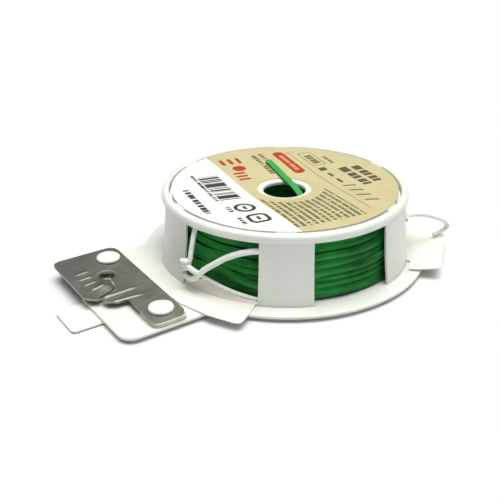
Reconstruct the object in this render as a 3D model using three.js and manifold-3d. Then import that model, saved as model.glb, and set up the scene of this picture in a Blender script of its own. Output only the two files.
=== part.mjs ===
// A garden tie spool: a round cage holding a coil of plastic-covered tie wire on a flat base,
// with a stamped steel cutter on the base's tab. Millimetres, +Z up. The origin is where the
// spool's axis meets the surface that the object rests on. The tab points along -X.
import * as THREE from 'three';
import { mergeVertices } from 'three/addons/utils/BufferGeometryUtils.js';
import Module from 'manifold-3d';

const wasm = await Module();
wasm.setup();

// ---- Driving dimensions ----------------------------------------------------------------
const deg = Math.PI / 180;
const clearance = 0.3;

// The base: a thin round flange with a wide tab towards -X.
const baseRadius = 52.2;
const baseUnderside = 1.1;
const baseTop = 2.2;
const tabEnd = -78.8;
const tabNear = -25.6;
const tabFar = 30;
const tabCorner = 5;
const neckRadius = 5;
const footRing = { inner: 47, outer: 49 };
const centreFootRadius = 6;

// The cage: a rounded rim on six pillars, which lean in towards the top.
const pillarCount = 6;
const pillarWidth = 22.8;
const firstPillar = -5.8;
const wallBottomRadius = 46.6;
const wallTopRadius = 44.4;
const wallThickness = 0.8;
const windowTop = 24.2;
const rimRadius = 44.7;
const rimInnerRadius = 41.9;
const rimTop = 27;
const ledgeTop = 25;
const ledgeInnerRadius = 38.5;
const tenonWidth = 10;
const lugWidth = 9;

// The top disc and the paper label on it. Both sag a little towards the eye.
const discRadius = 41.3;
const discBottom = 25.1;
const discTop = 26.6;
const eyeRadius = 7.7;
const labelTop = 26.8;
const labelHoleRadius = 9.9;
const discSag = 1.9;

// The coil of flat tie wire, loose in the cage and fuller towards the bottom.
const coilBore = 15;
const coilBottom = 3.1;
const coilTop = 24;
const coilDip = 0.8;
const coilSide = [
  [42.8, coilBottom],
  [43.8, 5],
  [43.4, 10],
  [42.9, 15],
  [41.9, 20],
  [41, coilTop],
];
const tieWidth = 2.9;
const tieThickness = 0.9;

// The steel cutter plate, tilted slightly so that its far end stands higher.
const plateThickness = 0.7;
const plateTopAtAxis = baseTop + 2.75;
const plateTilt = 1.25;
const keyhole = { x: -67.5, y: 11.2, radius: 2.6 };
const farRivet = { x: -61.9, y: 21.4 };
const nearRivet = { x: -62.4, y: -18.6 };
const farSpacer = { left: -67.6, right: -56, near: 15.5, far: 27, height: 2.2 };
const nearSpacer = { left: -69.1, right: -56.2, near: -25.3, far: -13.4, height: 1.4 };
const rivetHeadRadius = 4.2;
const rivetHeadHeight = 1.4;
const rivetShankRadius = 2;
const rivetFootRadius = 3.4;

// Thin sheet, strap and elastic cord.
const sheetBottom = 2.5;
const sheetThickness = 0.35;
const sheetRadius = 41;
const strapEnd = -88.9;
const strapInnerEnd = -24;
const strapNear = -9.6;
const strapFar = 5.3;
const strapBottom = 0.2;
const strapTop = 0.9;
const cordRadius = 0.9;

// ---- Geometry helpers ------------------------------------------------------------------

// A closed three.js geometry as a manifold solid.
function solid(geometry) {
  const plain = geometry.clone();
  plain.deleteAttribute('normal');
  plain.deleteAttribute('uv');
  const merged = mergeVertices(plain);
  return new wasm.Manifold(new wasm.Mesh({
    numProp: 3,
    vertProperties: new Float32Array(merged.attributes.position.array),
    triVerts: new Uint32Array(merged.index.array),
  }));
}

// A manifold solid as a three.js geometry.
function geometryOf(manifold) {
  const mesh = manifold.getMesh();
  const geometry = new THREE.BufferGeometry();
  geometry.setAttribute('position', new THREE.BufferAttribute(mesh.vertProperties, 3));
  geometry.setIndex(new THREE.BufferAttribute(mesh.triVerts, 1));
  geometry.computeVertexNormals();
  return geometry;
}

// A flat outline raised from one height to another.
function slab(shape, bottom, top, curveSegments = 12) {
  const geometry = new THREE.ExtrudeGeometry(shape, { depth: top - bottom, bevelEnabled: false, curveSegments });
  return geometry.translate(0, 0, bottom);
}

// A profile of [radius, height] points, listed anticlockwise, turned about the Z axis.
function turned(profile, segments = 48) {
  const points = profile.map(([radius, height]) => new THREE.Vector2(radius, height));
  return new THREE.LatheGeometry(points, segments).rotateX(Math.PI / 2);
}

// A closed ring section turned about the Z axis.
function turnedRing(profile, segments = 48) {
  return turned([...profile, profile[0]], segments);
}

// A closed outline through [x, y, corner radius] points, with each corner rounded off.
function roundedOutline(corners) {
  const shape = new THREE.Shape();
  corners.forEach(([x, y, radius], i) => {
    const corner = new THREE.Vector2(x, y);
    const before = new THREE.Vector2(...corners.at(i - 1).slice(0, 2)).sub(corner).normalize();
    const after = new THREE.Vector2(...corners[(i + 1) % corners.length].slice(0, 2)).sub(corner).normalize();
    const half = Math.acos(THREE.MathUtils.clamp(before.dot(after), -1, 1)) / 2;
    const reach = radius / Math.tan(half);
    const start = corner.clone().addScaledVector(before, reach);
    const end = corner.clone().addScaledVector(after, reach);
    if (i === 0) shape.moveTo(start.x, start.y);
    else shape.lineTo(start.x, start.y);
    if (radius > 0) shape.quadraticCurveTo(x, y, end.x, end.y);
  });
  shape.closePath();
  return shape;
}

// A wedge of a ring between two radii and two angles in degrees.
function sector(innerRadius, outerRadius, from, to) {
  const shape = new THREE.Shape();
  shape.absarc(0, 0, outerRadius, from * deg, to * deg, false);
  shape.absarc(0, 0, innerRadius, to * deg, from * deg, true);
  shape.closePath();
  return shape;
}

// A section of [across, up] points, listed anticlockwise, swept along a smooth path. The
// section stays upright, with its width level.
function swept(points, section, steps) {
  const path = new THREE.CatmullRomCurve3(points);
  const up = new THREE.Vector3(0, 0, 1);
  const vertices = [];
  const faces = [];
  const sides = section.length;
  for (let i = 0; i <= steps; i++) {
    const centre = path.getPoint(i / steps);
    const forward = path.getTangent(i / steps);
    const across = new THREE.Vector3().crossVectors(forward, up).normalize();
    const above = new THREE.Vector3().crossVectors(across, forward);
    for (const [width, height] of section) {
      const vertex = centre.clone().addScaledVector(across, width).addScaledVector(above, height);
      vertices.push(vertex.x, vertex.y, vertex.z);
    }
  }
  for (let i = 0; i < steps; i++) {
    for (let j = 0; j < sides; j++) {
      const a = i * sides + j;
      const b = i * sides + (j + 1) % sides;
      faces.push(a, a + sides, b, b, a + sides, b + sides);
    }
  }
  const last = steps * sides;
  for (let j = 1; j < sides - 1; j++) {
    faces.push(0, j, j + 1);
    faces.push(last, last + j + 1, last + j);
  }
  const geometry = new THREE.BufferGeometry();
  geometry.setAttribute('position', new THREE.Float32BufferAttribute(vertices, 3));
  geometry.setIndex(faces);
  geometry.computeVertexNormals();
  return geometry;
}

// A round cord section.
function circleSection(radius, sides = 8) {
  return Array.from({ length: sides }, (_, i) => {
    const angle = (i / sides) * 2 * Math.PI;
    return [radius * Math.cos(angle), radius * Math.sin(angle)];
  });
}

// A point given by its angle about the axis in degrees, its distance from the axis and its height.
function polar(angle, radius, height) {
  return new THREE.Vector3(radius * Math.cos(angle * deg), radius * Math.sin(angle * deg), height);
}

// The middle angle of each cage pillar.
const pillarAngles = Array.from({ length: pillarCount }, (_, i) => firstPillar + (i * 360) / pillarCount);

// ---- Base ------------------------------------------------------------------------------

// The concave arc that joins the flange to one long edge of the tab: its centre, and the
// angle at which it faces the spool's axis. side is +1 for the far edge and -1 for the near edge.
function neck(edge, side) {
  const y = edge + side * neckRadius;
  const x = -Math.sqrt((baseRadius + neckRadius) ** 2 - y * y);
  return { x, y, towardAxis: Math.atan2(-y, -x) };
}

function baseOutline() {
  const near = neck(tabNear, -1);
  const far = neck(tabFar, 1);
  const shape = new THREE.Shape();
  shape.absarc(0, 0, baseRadius, near.towardAxis - Math.PI, far.towardAxis + Math.PI, false);
  shape.absarc(far.x, far.y, neckRadius, far.towardAxis, -Math.PI / 2, true);
  shape.absarc(tabEnd + tabCorner, tabFar - tabCorner, tabCorner, Math.PI / 2, Math.PI, false);
  shape.absarc(tabEnd + tabCorner, tabNear + tabCorner, tabCorner, Math.PI, 1.5 * Math.PI, false);
  shape.absarc(near.x, near.y, neckRadius, Math.PI / 2, near.towardAxis, true);
  shape.closePath();
  return shape;
}

function circleHole({ x, y }, radius) {
  return new THREE.Path().absarc(x, y, radius, 0, 2 * Math.PI, true);
}

// The flange and tab, with a foot ring, a round foot on the axis and two ribs under them. The
// ribs guide the strap.
function basePlate() {
  const outline = baseOutline();
  for (const rivet of [farRivet, nearRivet]) {
    outline.holes.push(circleHole(rivet, rivetShankRadius + clearance));
  }
  const ribWidth = 1.6;
  const overlap = 0.2;
  const ribTop = baseUnderside + overlap;
  const ribs = [strapNear - clearance - ribWidth, strapFar + clearance].map((y) => slab(roundedOutline([
    [tabEnd + tabCorner, y, 0],
    [strapInnerEnd, y, 0],
    [strapInnerEnd, y + ribWidth, 0],
    [tabEnd + tabCorner, y + ribWidth, 0],
  ]), 0, ribTop));
  const ring = turnedRing([
    [footRing.inner, 0],
    [footRing.outer, 0],
    [footRing.outer, ribTop],
    [footRing.inner, ribTop],
  ]);
  const strapGap = slab(roundedOutline([
    [-baseRadius, strapNear - clearance, 0],
    [strapInnerEnd, strapNear - clearance, 0],
    [strapInnerEnd, strapFar + clearance, 0],
    [-baseRadius, strapFar + clearance, 0],
  ]), -1, baseUnderside);
  const centreFoot = new THREE.Shape().absarc(0, 0, centreFootRadius, 0, 2 * Math.PI, false);
  let plate = solid(slab(outline, baseUnderside, baseTop, 20)).add(solid(ring).subtract(solid(strapGap)));
  for (const support of [...ribs, slab(centreFoot, 0, ribTop)]) plate = plate.add(solid(support));
  for (const angle of pillarAngles) {
    const halfSlot = tenonWidth / 2 + clearance;
    const slot = sector(
      wallBottomRadius - wallThickness - clearance,
      wallBottomRadius + clearance,
      angle - halfSlot,
      angle + halfSlot,
    );
    plate = plate.subtract(solid(slab(slot, 0, baseTop + 1, 6)));
  }
  return geometryOf(plate);
}

// ---- Cage ------------------------------------------------------------------------------

// The rim, six lugs that centre the disc, a short ledge under each lug that carries it, and
// six pillars whose tenons stand in the base's slots.
function cage() {
  const tenonBottom = baseUnderside + 0.1;
  const shoulder = baseTop + clearance;
  const wall = turnedRing([
    [wallBottomRadius - wallThickness, tenonBottom],
    [wallBottomRadius, tenonBottom],
    [wallBottomRadius, shoulder],
    [wallTopRadius, windowTop - 0.8],
    [rimRadius, windowTop + 0.4],
    [rimRadius, windowTop + 1.3],
    [rimRadius - 0.6, rimTop - 0.7],
    [rimRadius - 1.8, rimTop],
    [rimInnerRadius + 0.5, rimTop],
    [rimInnerRadius, rimTop - 0.4],
    [rimInnerRadius, ledgeTop],
    [ledgeInnerRadius, ledgeTop],
    [ledgeInnerRadius, windowTop],
    [wallTopRadius - wallThickness - 0.6, windowTop],
    [wallTopRadius - wallThickness, windowTop - 0.8],
  ], 72);
  let body = solid(wall);
  for (const angle of pillarAngles) {
    const next = angle + 360 / pillarCount;
    const window = sector(30, 60, angle + pillarWidth / 2, next - pillarWidth / 2);
    const besideTenon = sector(30, 60, angle + tenonWidth / 2, next - tenonWidth / 2);
    body = body.subtract(solid(slab(window, 0, windowTop, 10)));
    body = body.subtract(solid(slab(besideTenon, 0, shoulder, 10)));
  }
  for (const angle of pillarAngles) {
    const lug = sector(discRadius + 0.1, rimInnerRadius + 0.2, angle - lugWidth / 2, angle + lugWidth / 2);
    const next = angle + 360 / pillarCount;
    const besideLug = sector(30, rimInnerRadius, angle + lugWidth / 2, next - lugWidth / 2);
    body = body.add(solid(slab(lug, ledgeTop - 0.2, rimTop - 0.4, 4)));
    body = body.subtract(solid(slab(besideLug, 0, rimTop + 1, 10)));
  }
  return geometryOf(body);
}

// ---- Disc and label --------------------------------------------------------------------

// A face of the sagging disc, as [radius, height] points from one radius to another.
function discFace(from, to, edgeHeight) {
  const steps = 6;
  return Array.from({ length: steps + 1 }, (unused, i) => {
    const radius = from + ((to - from) * i) / steps;
    const share = (discRadius - radius) / (discRadius - eyeRadius);
    return [radius, edgeHeight - discSag * share ** 2];
  });
}

// The disc, with a softly rounded eye that the wire is drawn through.
function topDisc() {
  return turnedRing([
    [eyeRadius, discBottom + 0.4 - discSag],
    ...discFace(eyeRadius + 0.4, discRadius, discBottom),
    ...discFace(discRadius, eyeRadius + 0.7, discTop),
    [eyeRadius, discTop - 0.6 - discSag],
  ]);
}

function paperLabel() {
  const gap = 0.05;
  return turnedRing([
    ...discFace(labelHoleRadius, discRadius - gap, discTop + gap),
    ...discFace(discRadius - gap, labelHoleRadius, labelTop),
  ]);
}

// ---- Wire ------------------------------------------------------------------------------

function wireCoil() {
  return turnedRing([[coilBore, coilBottom], ...coilSide, [coilBore, coilTop - coilDip]]);
}

// The loose end of the tie: up from the coil's bore, through the eye and across the label.
function wireEnd() {
  const path = [
    new THREE.Vector3(3, -12.4, 20.2),
    new THREE.Vector3(3, -8.2, 21.4),
    new THREE.Vector3(3.2, -4.8, 23.9),
    new THREE.Vector3(3.9, 0.6, 25.5),
    new THREE.Vector3(5.3, 5.8, 25.8),
    new THREE.Vector3(6.9, 12.2, 26.1),
    new THREE.Vector3(8.1, 17.9, 26.7),
    new THREE.Vector3(9.1, 22.8, 27.2),
  ];
  const halfWidth = tieWidth / 2;
  const halfThickness = tieThickness / 2;
  const section = [
    [-halfWidth, -halfThickness],
    [halfWidth, -halfThickness],
    [halfWidth, halfThickness],
    [-halfWidth, halfThickness],
  ];
  return swept(path, section, 24);
}

// ---- Cutter ----------------------------------------------------------------------------

// The steel plate in its own level frame, with its upper face at height 0: a wide tongue over
// the tab's end, a leg down to the near rivet, a keyhole and the slit that cuts the tie.
function cutterPlate() {
  const left = -80.1;
  const right = -56;
  const far = 29.4;
  const near = -25;
  const legEdge = -68.4;
  const outline = roundedOutline([
    [left, far, 3.5],
    [left, 1.2, 1.6],
    [-77.2, -1.5, 1],
    [-75.4, -2, 0.4],
    [-74.6, -5.4, 1],
    [legEdge, -6.6, 0],
    [legEdge, near, 3],
    [right, near, 3],
    [right, far, 4],
  ]);
  outline.holes.push(circleHole(keyhole, keyhole.radius));
  for (const rivet of [farRivet, nearRivet]) {
    outline.holes.push(circleHole(rivet, rivetShankRadius + clearance));
  }
  const slit = roundedOutline([
    [keyhole.x - 0.3, keyhole.y, 0],
    [-68.6, 4.6, 0.5],
    [-75.6, -0.6, 0],
    [-75.6, -4, 0],
    [-75, -4, 0],
    [-75, -0.9, 0],
    [-68, 4.2, 0.5],
    [keyhole.x + 0.3, keyhole.y, 0],
  ]);
  const plate = solid(slab(outline, -plateThickness, 0));
  return geometryOf(plate.subtract(solid(slab(slit, -plateThickness - 1, 1))));
}

// A rivet in the plate's frame: a domed head on the plate, a shank and a foot under the base.
// baseDepth is the height of the base's underside below the plate's upper face.
function rivet(baseDepth) {
  const footTop = -baseDepth - 0.2;
  const headBottom = 0.05;
  return turned([
    [0, footTop - 0.6],
    [rivetFootRadius, footTop - 0.6],
    [rivetFootRadius, footTop],
    [rivetShankRadius, footTop],
    [rivetShankRadius, headBottom],
    [rivetHeadRadius, headBottom],
    [rivetHeadRadius, headBottom + 0.5],
    [rivetHeadRadius * 0.8, headBottom + rivetHeadHeight * 0.75],
    [rivetHeadRadius * 0.45, headBottom + rivetHeadHeight],
    [0, headBottom + rivetHeadHeight],
  ], 20);
}

// The plastic pad between the base and the plate round one rivet.
function spacer({ left, right, near, far, height }, rivetCentre) {
  const corner = 2.4;
  const outline = roundedOutline([
    [left, near, corner],
    [right, near, corner],
    [right, far, corner],
    [left, far, corner],
  ]);
  outline.holes.push(circleHole(rivetCentre, rivetShankRadius + clearance));
  return slab(outline, baseTop, baseTop + height);
}

// ---- Sheet, strap and cord ---------------------------------------------------------------

// The thin sheet under the coil. Its three wings come out through cage windows and lie over
// the flange.
function retainerSheet() {
  const frontWing = [
    [-30, -8, 0],
    [-46, -8, 0],
    [-54.8, -8.6, 1.5],
    [-54.2, -16, 4],
    [-50.8, -28, 6],
    [-45.4, -38.4, 2.5],
    [-35.6, -31.9, 0],
    [-28, -24.5, 0],
  ];
  const rightWing = [
    [20, -28, 0],
    [28.6, -37.9, 0],
    [23.4, -42.2, 0.5],
    [30.8, -50.4, 1.2],
    [54, -30.4, 1.2],
    [44.6, -20.6, 0],
    [30, -14, 0],
  ];
  const backWing = [
    [15, 30, 0],
    [16.8, 54.6, 2.5],
    [-8.4, 57.6, 2.5],
    [-8, 30, 0],
  ];
  const top = sheetBottom + sheetThickness;
  const middle = new THREE.Shape().absarc(0, 0, sheetRadius, 0, 2 * Math.PI, false);
  let sheet = solid(slab(middle, sheetBottom, top, 24));
  for (const wing of [frontWing, rightWing, backWing]) {
    sheet = sheet.add(solid(slab(roundedOutline(wing), sheetBottom, top)));
  }
  return geometryOf(sheet);
}

function beltStrap() {
  return slab(roundedOutline([
    [strapEnd, strapNear, 2],
    [strapInnerEnd, strapNear, 0],
    [strapInnerEnd, strapFar, 0],
    [strapEnd, strapFar, 2],
  ]), strapBottom, strapTop);
}

// The elastic cord: a knot at the edge of the left pillar, one strand up under the rim and two
// strands that run behind the front pillar.
function elasticCord() {
  const knotCentre = polar(-169.8, 48, 10.8);
  const upStrand = [
    knotCentre,
    polar(-168.6, 46.6, 13.7),
    polar(-169.4, 45, 18),
    polar(-169.1, 43, 22.9),
  ];
  const acrossStrand = [
    knotCentre,
    polar(-162.9, 47.6, 10.2),
    polar(-155.5, 46.4, 14.4),
    polar(-148.1, 45, 18.4),
    polar(-137.5, 43, 20.4),
    polar(-127, 42.6, 21),
  ];
  const lowStrand = [
    knotCentre,
    polar(-161.1, 47, 9.1),
    polar(-156.2, 46.1, 7.3),
    polar(-150.3, 45.3, 5.9),
    polar(-143.5, 45, 5),
    polar(-136.3, 44.8, 4.2),
    polar(-127, 44.7, 3.9),
  ];
  const knot = new THREE.SphereGeometry(1, 16, 10)
    .scale(2, 2.1, 3.4)
    .translate(knotCentre.x, knotCentre.y, knotCentre.z);
  let cord = solid(knot);
  for (const strand of [upStrand, acrossStrand]) {
    cord = cord.add(solid(swept(strand, circleSection(cordRadius), 20)));
  }
  cord = cord.add(solid(swept(lowStrand, circleSection(0.6 * cordRadius), 20)));
  return geometryOf(cord);
}

// The cord's loose end, which leaves a window beside the right pillar and droops onto the
// sheet's right wing.
function cordLoop() {
  return swept([
    new THREE.Vector3(32.6, -30.1, 14.9),
    new THREE.Vector3(36.4, -27.9, 14.9),
    new THREE.Vector3(39.8, -28.3, 14.7),
    new THREE.Vector3(43.1, -30.2, 14.3),
    new THREE.Vector3(46.4, -32.2, 13.2),
    new THREE.Vector3(49.5, -33.6, 11.4),
    new THREE.Vector3(50.8, -34.2, 9.6),
    new THREE.Vector3(50.4, -33.5, 7.8),
    new THREE.Vector3(48.9, -32.3, 6.5),
    new THREE.Vector3(46.6, -31.6, 5.7),
  ], circleSection(cordRadius), 28);
}

// ---- Assembly --------------------------------------------------------------------------
const whitePlastic = { color: 0xf1f3ec, roughness: 0.45, metalness: 0 };
const clearedSheet = { color: 0xf6f4e2, roughness: 0.4, metalness: 0 };
const greenVinyl = { color: 0x14602c, roughness: 0.4, metalness: 0 };
const steel = { color: 0x77776f, roughness: 0.35, metalness: 0.9 };
const amberPad = { color: 0xd9d3b4, roughness: 0.35, metalness: 0 };
const paper = { color: 0xe3d5a6, roughness: 0.6, metalness: 0 };
const elastic = { color: 0xf7f7f2, roughness: 0.7, metalness: 0 };

const spool = new THREE.Group();

function place(name, geometry, finish, parent = spool) {
  const mesh = new THREE.Mesh(geometry, new THREE.MeshStandardMaterial(finish));
  mesh.name = name;
  parent.add(mesh);
  return mesh;
}

place('base_plate', basePlate(), whitePlastic);
place('cage', cage(), whitePlastic);
place('top_disc', topDisc(), whitePlastic);
place('paper_label', paperLabel(), paper);
place('wire_coil', wireCoil(), greenVinyl);
place('wire_end', wireEnd(), { ...greenVinyl, color: 0x23964a });
place('retainer_sheet', retainerSheet(), clearedSheet);
place('belt_strap', beltStrap(), clearedSheet);
place('spacer_far', spacer(farSpacer, farRivet), amberPad);
place('spacer_near', spacer(nearSpacer, nearRivet), amberPad);
place('elastic_cord', elasticCord(), elastic);
place('cord_loop', cordLoop(), elastic);

const cutter = new THREE.Group();
cutter.position.z = plateTopAtAxis;
cutter.rotation.x = plateTilt * deg;
spool.add(cutter);
place('cutter_plate', cutterPlate(), steel, cutter);
for (const [name, { x, y }] of [['rivet_far', farRivet], ['rivet_near', nearRivet]]) {
  const baseDepth = plateTopAtAxis + y * Math.tan(plateTilt * deg) - baseUnderside;
  place(name, rivet(baseDepth), whitePlastic, cutter).position.set(x, y, 0);
}

export default spool;
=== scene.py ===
# A garden tie spool with a cutter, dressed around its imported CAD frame. Lengths are in
# millimetres until a mesh is made; Blender's own units are metres.
import functools
import math

import bpy
import bmesh
import numpy as np
from mathutils import Matrix, Vector, noise


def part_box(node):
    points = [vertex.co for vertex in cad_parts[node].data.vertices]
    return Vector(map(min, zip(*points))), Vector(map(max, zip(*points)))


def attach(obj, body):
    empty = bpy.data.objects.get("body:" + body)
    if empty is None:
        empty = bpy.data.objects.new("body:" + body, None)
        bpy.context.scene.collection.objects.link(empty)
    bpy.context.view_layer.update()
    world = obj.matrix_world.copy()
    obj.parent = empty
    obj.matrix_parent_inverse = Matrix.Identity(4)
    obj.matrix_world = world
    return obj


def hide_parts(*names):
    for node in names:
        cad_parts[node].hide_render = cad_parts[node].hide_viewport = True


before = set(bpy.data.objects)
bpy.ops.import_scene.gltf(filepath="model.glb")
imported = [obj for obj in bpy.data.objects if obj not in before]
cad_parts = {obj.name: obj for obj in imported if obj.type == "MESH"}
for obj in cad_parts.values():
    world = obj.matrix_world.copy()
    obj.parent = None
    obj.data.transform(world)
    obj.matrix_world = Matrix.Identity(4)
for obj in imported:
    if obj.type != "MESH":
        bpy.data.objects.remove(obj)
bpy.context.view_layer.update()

MM = 0.001


# ---- Places taken from the CAD frame ----

def span(node):
    """A CAD node's lowest and highest corners, in millimetres."""
    low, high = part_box(node)
    return low / MM, high / MM


base_high, cage_high, disc_high, label_high = [
    span(node)[1] for node in ("base_plate", "cage", "top_disc", "paper_label")
]
coil_low, coil_high = span("wire_coil")
sheet_low, sheet_high = span("retainer_sheet")
strap_low, strap_high = span("belt_strap")

base_radius = base_high.x
base_top = base_high.z
base_underside = base_top - 1.1
tab_end, tab_near, tab_far = -78.8, -25.6, 30.0
eye_radius, disc_edge, disc_sag = 7.7, disc_high.x - 0.25, 1.9
pillar_angles = [-5.8 + 60 * i for i in range(6)]
pillar_width = 22.8
plate_tilt = math.tan(math.radians(1.25))
plate_top, plate_thickness = base_top + 2.75, 0.7


# ---- Mesh helpers ----

def place(item):
    """Puts an object in the scene."""
    bpy.context.scene.collection.objects.link(item)


def polar(angle, radius, height):
    """A point at an angle in degrees round the spool's axis."""
    turn = math.radians(angle)
    return np.array([radius * math.cos(turn), radius * math.sin(turn), height])


def arc(x, y, radius, start, end, steps):
    """Points on an arc, from start to end in degrees."""
    turns = [math.radians(start + (end - start) * i / steps) for i in range(steps + 1)]
    return [(x + radius * math.cos(t), y + radius * math.sin(t)) for t in turns]


def rounded(corners, steps=5):
    """A closed outline through (x, y, corner radius) points, with each corner rounded off."""
    points = []
    for i, (x, y, radius) in enumerate(corners):
        corner = Vector((x, y))
        before = (Vector(corners[i - 1][:2]) - corner).normalized()
        after = (Vector(corners[(i + 1) % len(corners)][:2]) - corner).normalized()
        if radius == 0:
            points.append((x, y))
            continue
        half = math.acos(max(-1, min(1, before.dot(after)))) / 2
        reach = radius / math.tan(half)
        start, end = corner + before * reach, corner + after * reach
        for k in range(steps + 1):
            t = k / steps
            point = start * (1 - t) ** 2 + corner * 2 * t * (1 - t) + end * t ** 2
            points.append((point.x, point.y))
    return points


def circle(x, y, radius, steps=32):
    return arc(x, y, radius, 0, 360 * (steps - 1) / steps, steps - 1)


class Build:
    """Collects vertices, faces and UVs in millimetres, and makes one mesh object of them."""

    def __init__(self):
        self.vertices = []
        self.faces = []
        self.uvs = []

    def add(self, vertices, faces, uvs=None):
        offset = len(self.vertices)
        self.vertices.extend(tuple(v) for v in vertices)
        self.faces.extend([offset + i for i in face] for face in faces)
        self.uvs.extend(uvs if uvs else [[(0.0, 0.0)] * len(face) for face in faces])
        return self

    def add_mesh(self, mesh):
        return self.add([v.co / MM for v in mesh.vertices], [list(p.vertices) for p in mesh.polygons])

    def object(self, name):
        mesh = bpy.data.meshes.new(name)
        mesh.from_pydata([(x * MM, y * MM, z * MM) for x, y, z in self.vertices], [], self.faces)
        layer = mesh.uv_layers.new(name="Length")
        corners = [corner for face in self.uvs for corner in face]
        layer.data.foreach_set("uv", np.array(corners, np.float32).ravel())
        piece = bpy.data.objects.new(name, mesh)
        place(piece)
        return piece


def weld(mesh, distance):
    """Merges doubled vertices and turns all faces outwards."""
    work = bmesh.new()
    work.from_mesh(mesh)
    bmesh.ops.remove_doubles(work, verts=work.verts, dist=distance)
    bmesh.ops.recalc_face_normals(work, faces=work.faces)
    work.to_mesh(mesh)
    work.free()


def apply_modifiers(piece):
    """Replaces the mesh by what its modifiers make of it."""
    graph = bpy.context.evaluated_depsgraph_get()
    mesh = bpy.data.meshes.new_from_object(piece.evaluated_get(graph))
    piece.modifiers.clear()
    piece.data = mesh


def smooth(piece, angle):
    for polygon in piece.data.polygons:
        polygon.use_smooth = True
    piece.data.set_sharp_from_angle(angle=math.radians(angle))


def bevel(piece, width):
    """Rounds the edges that are sharper than 40 degrees."""
    modifier = piece.modifiers.new("edges", "BEVEL")
    modifier.width = width * MM
    modifier.segments = 2
    modifier.limit_method = "ANGLE"
    modifier.angle_limit = math.radians(40)
    apply_modifiers(piece)


def slab(outlines, bottom, top, edge):
    """A flat plate between two heights, with a rounded edge. The first outline is the outside
    and the others are holes."""
    curve = bpy.data.curves.new("slab", "CURVE")
    curve.dimensions = "2D"
    curve.fill_mode = "BOTH"
    curve.extrude = ((top - bottom) / 2 - edge) * MM
    curve.bevel_depth = edge * MM
    curve.bevel_resolution = 2
    curve.offset = -edge * MM
    for outline in outlines:
        spline = curve.splines.new("POLY")
        spline.points.add(len(outline) - 1)
        for point, (x, y) in zip(spline.points, outline):
            point.co = (x * MM, y * MM, 0, 1)
        spline.use_cyclic_u = True
    holder = bpy.data.objects.new("slab", curve)
    holder.location.z = (top + bottom) / 2 * MM
    place(holder)
    graph = bpy.context.evaluated_depsgraph_get()
    mesh = bpy.data.meshes.new_from_object(holder.evaluated_get(graph))
    mesh.transform(Matrix.Translation(holder.location))
    bpy.data.objects.remove(holder)
    weld(mesh, 2e-6)
    return mesh


def grid_slab(low, high, thickness, cell):
    """A closed flat box whose top and bottom are divided into small cells."""
    columns = int((high[0] - low[0]) / cell) + 1
    rows = int((high[1] - low[1]) / cell) + 1
    xs = np.linspace(low[0], high[0], columns + 1)
    ys = np.linspace(low[1], high[1], rows + 1)
    vertices = [(x, y, side * thickness / 2) for side in (-1, 1) for y in ys for x in xs]
    layer = (columns + 1) * (rows + 1)
    faces = []

    def at(i, j, side):
        return side * layer + j * (columns + 1) + i

    for j in range(rows):
        for i in range(columns):
            faces.append([at(i, j, 1), at(i + 1, j, 1), at(i + 1, j + 1, 1), at(i, j + 1, 1)])
            faces.append([at(i, j, 0), at(i, j + 1, 0), at(i + 1, j + 1, 0), at(i + 1, j, 0)])
    for i in range(columns):
        faces.append([at(i, 0, 0), at(i + 1, 0, 0), at(i + 1, 0, 1), at(i, 0, 1)])
        faces.append([at(i + 1, rows, 0), at(i, rows, 0), at(i, rows, 1), at(i + 1, rows, 1)])
    for j in range(rows):
        faces.append([at(0, j + 1, 0), at(0, j, 0), at(0, j, 1), at(0, j + 1, 1)])
        faces.append([at(columns, j, 0), at(columns, j + 1, 0), at(columns, j + 1, 1), at(columns, j, 1)])
    return Build().add(vertices, faces).object("grid")


def pressed(outline, holes, thickness, cell, lift):
    """A thin sheet cut to an outline, with holes, and pressed to shape: lift(x, y) is the height
    of its middle. Returns a mesh."""
    xs = [x for x, _ in outline]
    ys = [y for _, y in outline]
    low, high = (min(xs) - 1.03, min(ys) - 1.07), (max(xs) + 1.05, max(ys) + 1.02)
    sheet = grid_slab(low, high, thickness, cell)
    for cut, operation in [(outline, "INTERSECT")] + [(hole, "DIFFERENCE") for hole in holes]:
        cutter = bpy.data.objects.new("cutter", slab([cut], -3, 3, 0))
        place(cutter)
        modifier = sheet.modifiers.new("cut", "BOOLEAN")
        modifier.operation = operation
        modifier.solver = "EXACT"
        modifier.object = cutter
        apply_modifiers(sheet)
        bpy.data.objects.remove(cutter)
    mesh = sheet.data
    for vertex in mesh.vertices:
        vertex.co.z += lift(vertex.co.x / MM, vertex.co.y / MM) * MM
    bpy.data.objects.remove(sheet)
    return mesh


def turned(profile, segments=128, start=0, end=360):
    """A closed section of (radius, height) points turned about the spool's axis, all the way
    round or between two angles."""
    count = len(profile)
    whole = end - start == 360
    stops = segments if whole else segments + 1
    angles = [start + (end - start) * i / segments for i in range(stops)]
    vertices = [polar(angle, r, z) for angle in angles for r, z in profile]
    faces = []
    for i in range(segments):
        here, after = i * count, (i + 1) % stops * count
        for j in range(count):
            k = (j + 1) % count
            faces.append([here + j, after + j, after + k, here + k])
    if not whole:
        faces.append(list(range(count)))
        faces.append([(stops - 1) * count + j for j in reversed(range(count))])
    return vertices, faces


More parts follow.
